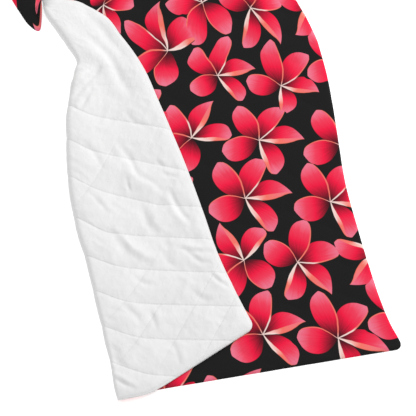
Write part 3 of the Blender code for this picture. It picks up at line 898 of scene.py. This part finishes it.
def cloth_panel(name, lattice, side, loft, finish):
    """One closed panel: a fine outer face, an inner face of half its lattice, and its rim."""
    across, along = lattice
    columns, rows = across.shape[0] - 1, across.shape[1] - 1
    normal = outward(across, along) * side
    inner = cloth_point(across, along) + normal * (PANEL_GAP / 2)
    outer = inner + normal * loft(across, along)[..., None]
    count = across.size
    half = (slice(None, None, 2), slice(None, None, 2))
    points = np.concatenate([outer.reshape(-1, 3), inner[half].reshape(-1, 3)])
    places = np.stack([across, along], -1)
    places = np.concatenate([places.reshape(-1, 2), places[half].reshape(-1, 2)])
    flip = side > 0
    quads = np.concatenate([
        grid_faces(columns, rows, 0, flip),
        grid_faces(columns // 2, rows // 2, count, not flip),
    ])
    faces = [tuple(q) for q in quads.tolist()]
    fine = rim_of(columns, rows)
    coarse = [count + k for k in rim_of(columns // 2, rows // 2)]
    for k, a in enumerate(coarse):
        b = coarse[(k + 1) % len(coarse)]
        p, q, r = (fine[(2 * k + m) % len(fine)] for m in range(3))
        for face in ((a, q, p), (a, b, q), (b, r, q)):
            faces.append(face[::-1] if flip else face)
    piece = new_piece(name, points.tolist(), faces, finish)
    mesh = piece.data
    corner = np.zeros(len(mesh.loops), np.int32)
    mesh.loops.foreach_get("vertex_index", corner)
    cut_map = mesh.uv_layers.new(name="cut")
    cut_map.uv.foreach_set("vector", places[corner].astype(np.float32).ravel())
    rising, falling = stitched_counts(*places.T)
    pulls = stitch_pulls(*places.T)
    fields = {
        "from_edge": edge_distance(*places.T), "rising": rising, "falling": falling,
        "rising_pull": pulls[0], "falling_pull": pulls[1],
    }
    for field, values in fields.items():
        held = mesh.attributes.new(field, "FLOAT", "POINT")
        held.data.foreach_set("value", values.astype(np.float32))
    return piece


def fill(tree, node, *inputs):
    """Links sockets to a node's inputs and sets the others: in order, or named in a dict."""
    named = inputs and isinstance(inputs[0], dict)
    for key, value in (inputs[0].items() if named else enumerate(inputs)):
        if isinstance(value, bpy.types.NodeSocket):
            tree.links.new(value, node.inputs[key])
        else:
            node.inputs[key].default_value = value


def add(tree, kind, *inputs, out=0, stops=(), between="LINEAR", **settings):
    """Adds one node with its settings and inputs, and gives one output, or all for None.

    An operation follows the kind after a space. `stops` are a ramp's places and colours, or a
    curve's points.
    """
    kind, _, operation = kind.partition(" ")
    made = tree.nodes.new("ShaderNode" + kind)
    if operation:
        made.operation = operation
    for name, value in settings.items():
        setattr(made, name, value)
    if kind == "ValToRGB":
        made.color_ramp.interpolation = between
        elements = made.color_ramp.elements
        for place, colour in stops[1:-1]:
            elements.new(place)
        for element, (place, colour) in zip(elements, stops):
            element.position = place
            element.color = (*colour, 1)
    if kind == "FloatCurve":
        points = made.mapping.curves[0].points
        for point, place in zip(points, (stops[0], stops[-1])):
            point.location = place
        for place in stops[1:-1]:
            points.new(*place)
        made.mapping.update()
    fill(tree, made, *inputs)
    return list(made.outputs) if out is None else made.outputs[out]


def new_group(name, inputs, outputs):
    """Node group with named sockets, given as (name, kind): itself, its inputs and its end."""
    group = bpy.data.node_groups.new(name, "ShaderNodeTree")
    for direction, sockets in (("INPUT", inputs), ("OUTPUT", outputs)):
        for socket, kind in sockets:
            group.interface.new_socket(socket, in_out=direction, socket_type="NodeSocket" + kind)
    start = group.nodes.new("NodeGroupInput")
    return group, start.outputs[:len(inputs)], group.nodes.new("NodeGroupOutput")


def petal_values(tree, which, names):
    """Up to three columns of the petals' table, read for petal number `which`."""
    columns = [PETAL_NAMES.index(name) for name in names]
    stops = [(number / PETALS, [row[k] for k in columns] + [0.0] * (3 - len(columns)))
             for number, row in enumerate(PETAL_ROWS)]
    at = add(tree, "Math MULTIPLY_ADD", which, 1 / PETALS, 0.5 / PETALS)
    values = add(tree, "ValToRGB", at, stops=stops, between="CONSTANT")
    return add(tree, "SeparateColor", values, out=None)[:len(names)]


def petal_group(colours):
    """One petal: how much of it covers a place, and its colour there."""
    names = ("Radius", "Bearing", "Which", "Streaks")
    group, starts, end = new_group(
        "petal", [(name, "Float") for name in names], (("Cover", "Float"), ("Colour", "Color")),
    )
    radius, bearing, which, streaks = starts
    lead, length, half_width = petal_values(group, which, ("lead", "length", "half_width"))
    pointed, bend = petal_values(group, which, ("pointed", "bend"))
    band, cream = petal_values(group, which, ("band", "cream"))
    petal_stops, band_stops, line_stops = (
        [(row.at, blend_of(getattr(colours, row.first), getattr(colours, row.second), row.share))
         for row in by_row(SHADE_NAMES, rows)]
        for rows in (PETAL_SHADES, BAND_SHADES, LINE_SHADES)
    )

    off_step = add(group, "Math MULTIPLY_ADD", lead, -PETAL_STEP, PETAL_STEP / 2)
    angle = add(group, "Math ADD", bearing, off_step)
    far = add(group, "Math DIVIDE", radius, length)
    cosine = add(group, "Math COSINE", angle)
    sine = add(group, "Math SINE", angle)
    onward = add(group, "Math MULTIPLY", far, cosine)
    straight = add(group, "Math MULTIPLY", far, sine)
    left = add(group, "Math MULTIPLY_ADD", onward, -BOW_HEIGHT, BOW_HEIGHT)
    bow = add(group, "Math MULTIPLY", onward, left)
    bent = add(group, "Math MULTIPLY", bow, bend)
    level = add(group, "Math SUBTRACT", straight, bent)
    near_tip = add(group, "Math POWER", onward, float(TIP_POWER))
    aside = add(group, "Math MULTIPLY_ADD", near_tip, -TIP_ASIDE, level)
    widths = [add(group, "FloatCurve", {"Value": onward}, stops=points)
              for points in (ROUND_PETAL, POINTED_PETAL, BAND_WIDTH, LINE_WIDTH)]
    shape = add(group, "Mix", {0: pointed, 2: widths[0], 3: widths[1]})
    half = add(group, "Math MULTIPLY", shape, half_width)
    off = add(group, "Math ABSOLUTE", aside)
    inside = add(group, "Math SUBTRACT", half, off)
    depth = add(group, "Math MULTIPLY_ADD", aside, SHADE_LEAN, onward)
    uneven = add(group, "Math MULTIPLY_ADD", streaks, STREAK_DEPTH, -STREAK_DEPTH / 2)
    depth = add(group, "Math ADD", depth, uneven)
    shade = add(group, "ValToRGB", depth, stops=petal_stops)

    from_lead = add(group, "Math ADD", half, aside)
    band_wide = add(group, "Math MULTIPLY", widths[2], band)
    past_cream = add(group, "Math SUBTRACT", onward, cream)
    band_at = add(group, "Math MULTIPLY_ADD", streaks, BAND_STREAK_DEPTH, past_cream)
    band_at = add(group, "Math ADD", band_at, BAND_MIDDLE)
    band_colour = add(group, "ValToRGB", band_at, stops=band_stops)
    line_colour = add(group, "ValToRGB", past_cream, stops=line_stops)
    for wide, colour in ((band_wide, band_colour), (widths[3], line_colour)):
        share = within(group, from_lead, wide)
        shade = add(group, "Mix", {0: share, 6: shade, 7: colour}, out=2, data_type="RGBA")
    fill(group, end, within(group, 0.0, inside), shade)
    return group


def within(tree, inset, width):
    """1 where `inset` is less than `width`, with the print's soft edge between."""
    left = add(tree, "Math SUBTRACT", width, inset)
    return add(tree, "MapRange", {
        "Value": left, "From Min": -PRINT_SOFTNESS / 2, "From Max": PRINT_SOFTNESS / 2,
    })


def blend_of(first, second, share):
    """Colour `share` of the way from the first to the second."""
    return tuple(a + (b - a) * share for a, b in zip(first, second))


def outline_points():
    """A flower's outline as (bearing, reach), with the bearing counted in whole turns."""
    points = []
    for number, petal in enumerate(by_row(PETAL_NAMES, PETAL_ROWS)):
        middle = (number - 0.5 + petal.lead) / PETALS
        for reach in OUTLINE_REACHES:
            bow = BOW_HEIGHT * (1 - reach) * petal.bend + TIP_ASIDE * reach ** (TIP_POWER - 1)
            half = math.asin(petal.half_width / reach) if reach < 1 else 0
            for side in {-half, half}:
                bearing = (middle + (bow + side) / (2 * math.pi)) % 1
                points.append((bearing, reach * petal.length))
    points.sort()
    (first, first_reach), (last, last_reach) = points[0], points[-1]
    seam = float(np.interp(1, (last, first + 1), (last_reach, first_reach)))
    return [(0.0, seam), *points, (1.0, seam)]


def nearer_group():
    """Keeps the nearest flower: how far out of its outline, and the polar place in it."""
    kinds = (("Nearest", "Float"), ("Polar", "Vector"))
    own = (("Place", "Vector"), ("Middle", "Vector"), ("Turn, size and number", "Vector"))
    group, starts, end = new_group("nearer flower", kinds + own, kinds)
    nearest, polar, place, middle, marks = starts
    turn, size, number = add(group, "SeparateXYZ", marks, out=None)
    away = add(group, "VectorMath SUBTRACT", place, middle)
    right, up, _ = add(group, "SeparateXYZ", away, out=None)
    repeats = add(group, "Math MULTIPLY", up, 1 / REPEAT_TALL)
    above = add(group, "Math ROUND", repeats)
    up = add(group, "Math MULTIPLY_ADD", above, -REPEAT_TALL, up)
    right = add(group, "Math MULTIPLY_ADD", above, -REPEAT_ASIDE, right)
    right = add(group, "Math WRAP", right, REPEAT_WIDE / 2, -REPEAT_WIDE / 2)
    offset = add(group, "CombineXYZ", right, up)
    far = add(group, "VectorMath LENGTH", offset, out=1)
    radius = add(group, "Math DIVIDE", far, size)
    bearing = add(group, "Math ARCTAN2", up, right)
    turned = add(group, "Math SUBTRACT", bearing, turn)
    counted = add(group, "Math MULTIPLY", turned, 1 / (2 * math.pi))
    counted = add(group, "Math FRACT", counted)
    reach = add(group, "FloatCurve", {"Value": counted}, stops=outline_points())
    distance = add(group, "Math DIVIDE", radius, reach)
    nearer = add(group, "Math LESS_THAN", distance, nearest)
    own_polar = add(group, "CombineXYZ", radius, turned, number)
    least = add(group, "Math MINIMUM", distance, nearest)
    kept = add(group, "Mix", {0: nearer, 4: polar, 5: own_polar}, out=1, data_type="VECTOR")
    fill(group, end, least, kept)
    return group


def flowers(tree, place, ground, colours):
    """Colour of the print: the nearest flower's petals, each over the next, on the ground."""
    nearer, petal = nearer_group(), petal_group(colours)
    held = (FAR_AWAY, (0.0, 0.0, 0.0))
    for number, item in enumerate(by_row(BLOOM_NAMES, BLOOMS)):
        middle = (item.right, item.up, 0.0)
        marks = (math.radians(item.turn), item.size, float(number))
        held = add(tree, "Group", *held, place, middle, marks, out=None, node_tree=nearer)
    radius, bearing, number = add(tree, "SeparateXYZ", held[1], out=None)
    counted = add(tree, "Math DIVIDE", bearing, PETAL_STEP)
    nearest = add(tree, "Math ROUND", counted)
    back = add(tree, "Math MULTIPLY_ADD", nearest, -PETAL_STEP, bearing)
    streak = add(tree, "Math MULTIPLY", bearing, STREAKS_PER_RADIAN)
    streak_place = add(tree, "CombineXYZ", streak, radius, number)
    streaks = add(tree, "TexNoise", {"Vector": streak_place, "Scale": 2.0, "Detail": 2.0})
    colour = ground
    for over in (-1, 0, 1):
        index = add(tree, "Math ADD", nearest, float(over))
        which = add(tree, "Math FLOORED_MODULO", index, float(PETALS))
        own_bearing = add(tree, "Math SUBTRACT", back, over * PETAL_STEP)
        leaf = (radius, own_bearing, which, streaks)
        cover, own = add(tree, "Group", *leaf, out=None, node_tree=petal)
        colour = add(tree, "Mix", {0: cover, 6: colour, 7: own}, out=2, data_type="RGBA")
    return colour


def new_material(name, values):
    """Material with these values on its shader's own sockets."""
    finish = bpy.data.materials.new(name)
    finish.use_nodes = True
    shader = finish.node_tree.nodes["Principled BSDF"]
    fill(finish.node_tree, shader, values)
    return finish, finish.node_tree, shader


def printed_microfibre(colours):
    """Brushed polyester, printed by transfer: flat deep colours, no gloss, a faint nap."""
    finish, tree, shader = new_material("printed brushed polyester", {
        **FIBRE, "Roughness": 0.95, "Specular IOR Level": 0.08,
    })
    cut = add(tree, "UVMap", uv_map="cut")
    across, along, _ = add(tree, "SeparateXYZ", cut, out=None)
    past = add(tree, "Math SUBTRACT", along, LET_OUT_FROM)
    past = add(tree, "Clamp", past, 0.0, LET_OUT_TO - LET_OUT_FROM)
    reach = add(tree, "Math MULTIPLY_ADD", past, -LET_OUT_SHARE, along)
    place = add(tree, "CombineXYZ", across, reach)
    for item in by_row(DRIFT_NAMES, DRIFTS):
        off = add(tree, "VectorMath SUBTRACT", cut, (item.across, item.along, 0.0))
        off = add(tree, "VectorMath DIVIDE", off, (item.wide, item.long, 1.0))
        square = add(tree, "VectorMath DOT_PRODUCT", off, off, out=1)
        share = add(tree, "Math POWER", math.exp(-1), square)
        shift = (item.aside, item.onward, 0.0)
        place = add(tree, "VectorMath MULTIPLY_ADD", share, shift, place)
    scale = REPEAT_WIDE / colours.repeat
    place = add(tree, "Mapping", {
        "Vector": place, "Scale": (-scale, scale, 1.0), "Rotation": (0.0, 0.0, -PRINT_TURN),
    })
    nap = add(tree, "TexNoise", {"Vector": place, "Scale": 1 / NAP_SIZE, "Detail": 2.0})
    ground = add(tree, "ValToRGB", nap, stops=(
        (0.30, blend_of(colours.ground, BLACK, 0.18)),
        (0.70, blend_of(colours.ground, GREY, 0.04)),
    ))
    bump = add(tree, "Bump", {"Height": nap, "Distance": NAP_HEIGHT, "Strength": 0.5})
    colour = flowers(tree, place, ground, colours)
    fill(tree, shader, {"Base Color": colour, "Normal": bump})
    return finish


def white_microfibre(white):
    """Brushed polyester, undyed: matt white, with a soft nap and sunk stitched lines."""
    finish, tree, shader = new_material("white brushed polyester", {
        **FIBRE, "Roughness": 0.92, "Sheen Weight": 0.05,
    })
    cut = add(tree, "UVMap", uv_map="cut")
    nap = add(tree, "TexNoise", {"Vector": cut, "Scale": 1 / NAP_SIZE, "Detail": 3.0})
    wrinkle = add(tree, "TexNoise", {
        "Vector": cut, "Scale": 1 / WRINKLE_SIZE, "Detail": 3.0, "Distortion": 0.6,
    })
    height = add(tree, "Math MULTIPLY", nap, NAP_HEIGHT)
    height = add(tree, "Math MULTIPLY_ADD", wrinkle, WRINKLE_HEIGHT, height)
    fields = {
        name: add(tree, "Attribute", out=2, attribute_name=name)
        for name in ("rising", "rising_pull", "falling", "falling_pull", "from_edge")
    }
    inset = add(tree, "Math SUBTRACT", fields["from_edge"], EDGE_STITCH_INSET)
    seams = [(add(tree, "Math ABSOLUTE", inset), SEAM_HALF_WIDTH, 1.0)]
    for name in ("rising", "falling"):
        beside = add(tree, "Math PINGPONG", fields[name], 0.5)
        seams.append((beside, SEAM_HALF_WIDTH / LINE_APART, fields[name + "_pull"]))
    for beside, reach, pull in seams:
        sunk = add(tree, "MapRange", {
            "Value": beside, "From Max": reach, "To Min": -SEAM_DEPTH, "To Max": 0.0,
        }, interpolation_type="SMOOTHSTEP")
        height = add(tree, "Math MULTIPLY_ADD", sunk, pull, height)
    bump = add(tree, "Bump", {"Height": height, "Distance": 1.0, "Strength": 1.0})
    tone = add(tree, "TexNoise", {"Vector": cut, "Scale": TONES_PER_METRE, "Detail": 2.0})
    stops = ((0.25, blend_of(white, BLACK, 0.03)), (0.75, white))
    shade = add(tree, "ValToRGB", tone, stops=stops)
    fill(tree, shader, {"Base Color": shade, "Normal": bump})
    return finish


def stitched_paths():
    """Lines of quilting and edge stitching, as places in the cut, with their edge clearance."""
    table = by_column(ROW_NAMES, ROWS)
    across = np.arange(0, CUT_WIDTH, STITCH_STEP)
    wide = (across - QUILT_ACROSS) / DIAMOND_WIDE
    most = int((CUT_WIDTH + CUT_LENGTH) / DIAMOND_LONG)
    for number in range(-most, most):
        for sign in (1, -1):
            reach = sign * (number - wide) * DIAMOND_LONG + QUILT_ALONG
            held = (reach > 0) & (reach < table.rows_reach[-1])
            if held.sum() > 1:
                along = np.interp(reach[held], table.rows_reach, table.along)
                yield np.stack([across[held], along], -1), STITCH_CLEAR
    inset, radius = EDGE_STITCH_INSET, CORNER_RADIUS - EDGE_STITCH_INSET
    turns = np.linspace(0, math.pi / 2, CORNER_STEPS)
    corner = (CUT_WIDTH - CORNER_RADIUS + radius * np.sin(turns),
              CORNER_RADIUS - radius * np.cos(turns))
    edge = [(0.0, inset), *zip(*corner), (CUT_WIDTH - inset, CUT_LENGTH)]
    yield np.array(edge), EDGE_CLEAR


def stitch_ends():
    """Places in the cut where each stitch begins and ends, on the turned side only."""
    ends = []
    for path, clear in stitched_paths():
        legs = np.linalg.norm(np.diff(path, axis=0), axis=1)
        gone = np.concatenate([[0], np.cumsum(legs)])
        begins = np.arange(0, gone[-1] - STITCH_LONG, STITCH_STEP)
        both = np.stack([begins, begins + STITCH_LONG])
        at = np.stack([np.interp(both, gone, path[:, k]) for k in (0, 1)], -1)
        shown = turned_share(at[..., 0], at[..., 1]) > SHOWN_SHARE
        clear_of_edge = edge_distance(at[..., 0], at[..., 1]) > clear
        ends.append(at[:, (shown & clear_of_edge).all(0)])
    return np.concatenate(ends, axis=1)


def stitches_on(panel, name, finish):
    """All stitches as one mesh: small arched bars whose ends dip into the panel."""
    across, along = np.moveaxis(stitch_ends(), -1, 0)
    normal = -outward(across, along)
    depth = PANEL_GAP / 2 + back_loft(across, along)
    ends = cloth_point(across, along) + normal * depth[..., None]
    bpy.context.view_layer.update()
    for place in ends.reshape(-1, 3):
        place[:] = panel.closest_point_on_mesh(place)[1]
    begin, end = ends
    up = normal.mean(0)
    side = np.cross(end - begin, up)
    side *= (STITCH_WIDE / 2 / np.linalg.norm(side, axis=-1))[:, None]
    rings = []
    for share, arch in zip(STITCH_BEND, STITCH_ARCH):
        middle = begin + (end - begin) * share
        top, bottom = middle + up * (STITCH_PROUD * arch), middle - up * STITCH_SUNK
        narrow = side * STITCH_TOP_SHARE
        rings += [bottom - side, bottom + side, top + narrow, top - narrow]
    points = np.stack(rings, 1)
    quads = [(0, 1, 2, 3), (11, 10, 9, 8)]
    for ring in (0, 4):
        for k in range(4):
            a, b = ring + k, ring + (k + 1) % 4
            quads.append((a, a + 4, b + 4, b))
    firsts = points.shape[1] * np.arange(len(points))
    faces = (np.array(quads)[None] + firsts[:, None, None]).reshape(-1, 4)
    return new_piece(name, points.reshape(-1, 3).tolist(), faces.tolist(), finish)


def polyester_thread(white):
    """Spun polyester sewing thread, white: a slight sheen and the twist of its plies."""
    finish, tree, shader = new_material("white spun polyester thread", {
        **FIBRE, "Roughness": 0.6, "Sheen Weight": 0.2,
    })
    place = add(tree, "TexCoord", out=3)
    plies = add(tree, "TexNoise", {"Vector": place, "Scale": 1 / THREAD_PLY, "Detail": 1.0})
    stops = ((0.3, blend_of(white, BLACK, 0.06)), (0.7, white))
    shade = add(tree, "ValToRGB", plies, stops=stops)
    bump = add(tree, "Bump", {"Height": plies, "Distance": THREAD_PLY / 4, "Strength": 0.6})
    fill(tree, shader, {"Base Color": shade, "Normal": bump})
    return finish


def declare(piece, node):
    """Makes a panel ride with the quilt and stand for its solid."""
    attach(piece, "root")
    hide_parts(node)


class QUILT_OT_printed_front(bpy.types.Operator):
    """Makes the printed front panel"""

    bl_idname = "quilt.printed_front"
    bl_label = "Printed front"

    def execute(self, context):
        lattice = cut_lattice(*FRONT_COUNTS)
        finish = printed_microfibre(context.scene.quilt_print)
        piece = cloth_panel("front_panel", lattice, 1, front_loft, finish)
        declare(piece, "printed_front")
        return {"FINISHED"}


class QUILT_OT_white_back(bpy.types.Operator):
    """Makes the plain white backing panel"""

    bl_idname = "quilt.white_back"
    bl_label = "White back"

    def execute(self, context):
        lattice = cut_lattice(*BACK_COUNTS)
        finish = white_microfibre(tuple(context.scene.quilt_cloth.white))
        piece = cloth_panel("back_panel", lattice, -1, back_loft, finish)
        declare(piece, "white_back")
        return {"FINISHED"}


class QUILT_OT_stitches(bpy.types.Operator):
    """Makes the quilting and edge stitches on the turned side of the white back"""

    bl_idname = "quilt.stitches"
    bl_label = "Stitches"

    def execute(self, context):
        panel = bpy.data.objects["back_panel"]
        finish = polyester_thread(tuple(context.scene.quilt_cloth.white))
        piece = stitches_on(panel, "stitches", finish)
        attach(piece, "root")
        return {"FINISHED"}


def backlit_acrylic(colour, glow):
    """Matt white acrylic, lit from below: an even, almost shadowless white."""
    return new_material("backlit white acrylic", {
        "Base Color": (*colour, 1), "Roughness": 0.95, "Specular IOR Level": 0.1,
        "Emission Color": (*colour, 1), "Emission Strength": glow,
    })[0]


class QUILT_OT_stage(bpy.types.Operator):
    """Makes the floor, the lights and the camera"""

    bl_idname = "quilt.stage"
    bl_label = "Stage"

    def execute(self, context):
        scene = context.scene
        stage = scene.quilt_stage
        half = FLOOR_SIZE / 2
        corners = ((-half, -half), (half, -half), (half, half), (-half, half))
        points = [(*corner, FLOOR_BELOW) for corner in corners]
        finish = backlit_acrylic(stage.floor, stage.backlight)
        floor = new_piece("floor", points, [(0, 1, 2, 3)], finish)

        camera = linked("camera", bpy.data.cameras.new("camera"))
        camera.data.lens = stage.lens
        camera.data.sensor_width = SENSOR
        camera.data.dof.use_dof = False
        level = math.cos(stage.elevation)
        back = Vector((
            math.sin(stage.azimuth) * level, -math.cos(stage.azimuth) * level,
            math.sin(stage.elevation),
        ))
        camera.location = (
            CAMERA_ACROSS - ORIGIN_X, CAMERA_BEFORE - ORIGIN_Y, CAMERA_HIGH
        )
        camera.rotation_euler = back.to_track_quat("Z", "Y").to_euler()
        scene.camera = camera

        lamp = bpy.data.lights.new("key", "AREA")
        lamp.shape = "SQUARE"
        lamp.size = KEY_SIZE
        lamp.energy = stage.key
        key = linked("key", lamp)
        key.location = KEY_PLACE
        key.rotation_euler = Vector(KEY_PLACE).to_track_quat("Z", "Y").to_euler()

        world = bpy.data.worlds.new("studio")
        world.use_nodes = True
        light = world.node_tree.nodes["Background"]
        light.inputs["Color"].default_value = (1, 1, 1, 1)
        light.inputs["Strength"].default_value = stage.fill
        scene.world = world
        scene.view_settings.view_transform = "Standard"
        return {"FINISHED"}


class QUILT_PT_panel(bpy.types.Panel):
    """Lists the quilt's pieces and settings"""

    bl_idname = "QUILT_PT_panel"
    bl_label = "Printed quilt"
    bl_space_type = "VIEW_3D"
    bl_region_type = "UI"
    bl_category = "Quilt"

    def draw(self, context):
        layout = self.layout
        for operator in OPERATORS:
            layout.operator(operator.bl_idname)
        for name in SETTINGS:
            group = getattr(context.scene, name)
            for field in group.bl_rna.properties:
                if field.identifier not in ("rna_type", "name"):
                    layout.prop(group, field.identifier)


OPERATORS = (
    QUILT_OT_printed_front, QUILT_OT_white_back, QUILT_OT_stitches, QUILT_OT_stage,
)
SETTINGS = {
    "quilt_print": PrintSettings,
    "quilt_cloth": ClothSettings,
    "quilt_stage": StageSettings,
}


def register():
    for group in SETTINGS.values():
        bpy.utils.register_class(group)
    for name, group in SETTINGS.items():
        setattr(bpy.types.Scene, name, PointerProperty(type=group))
    for operator in OPERATORS:
        bpy.utils.register_class(operator)
    bpy.utils.register_class(QUILT_PT_panel)


def unregister():
    bpy.utils.unregister_class(QUILT_PT_panel)
    for operator in reversed(OPERATORS):
        bpy.utils.unregister_class(operator)
    for name in SETTINGS:
        delattr(bpy.types.Scene, name)
    for group in reversed(SETTINGS.values()):
        bpy.utils.unregister_class(group)


def main():
    """Makes every piece and the stage."""
    register()
    bpy.ops.quilt.stage()
    bpy.ops.quilt.printed_front()
    bpy.ops.quilt.white_back()
    bpy.ops.quilt.stitches()


if __name__ == "__main__":
    main()
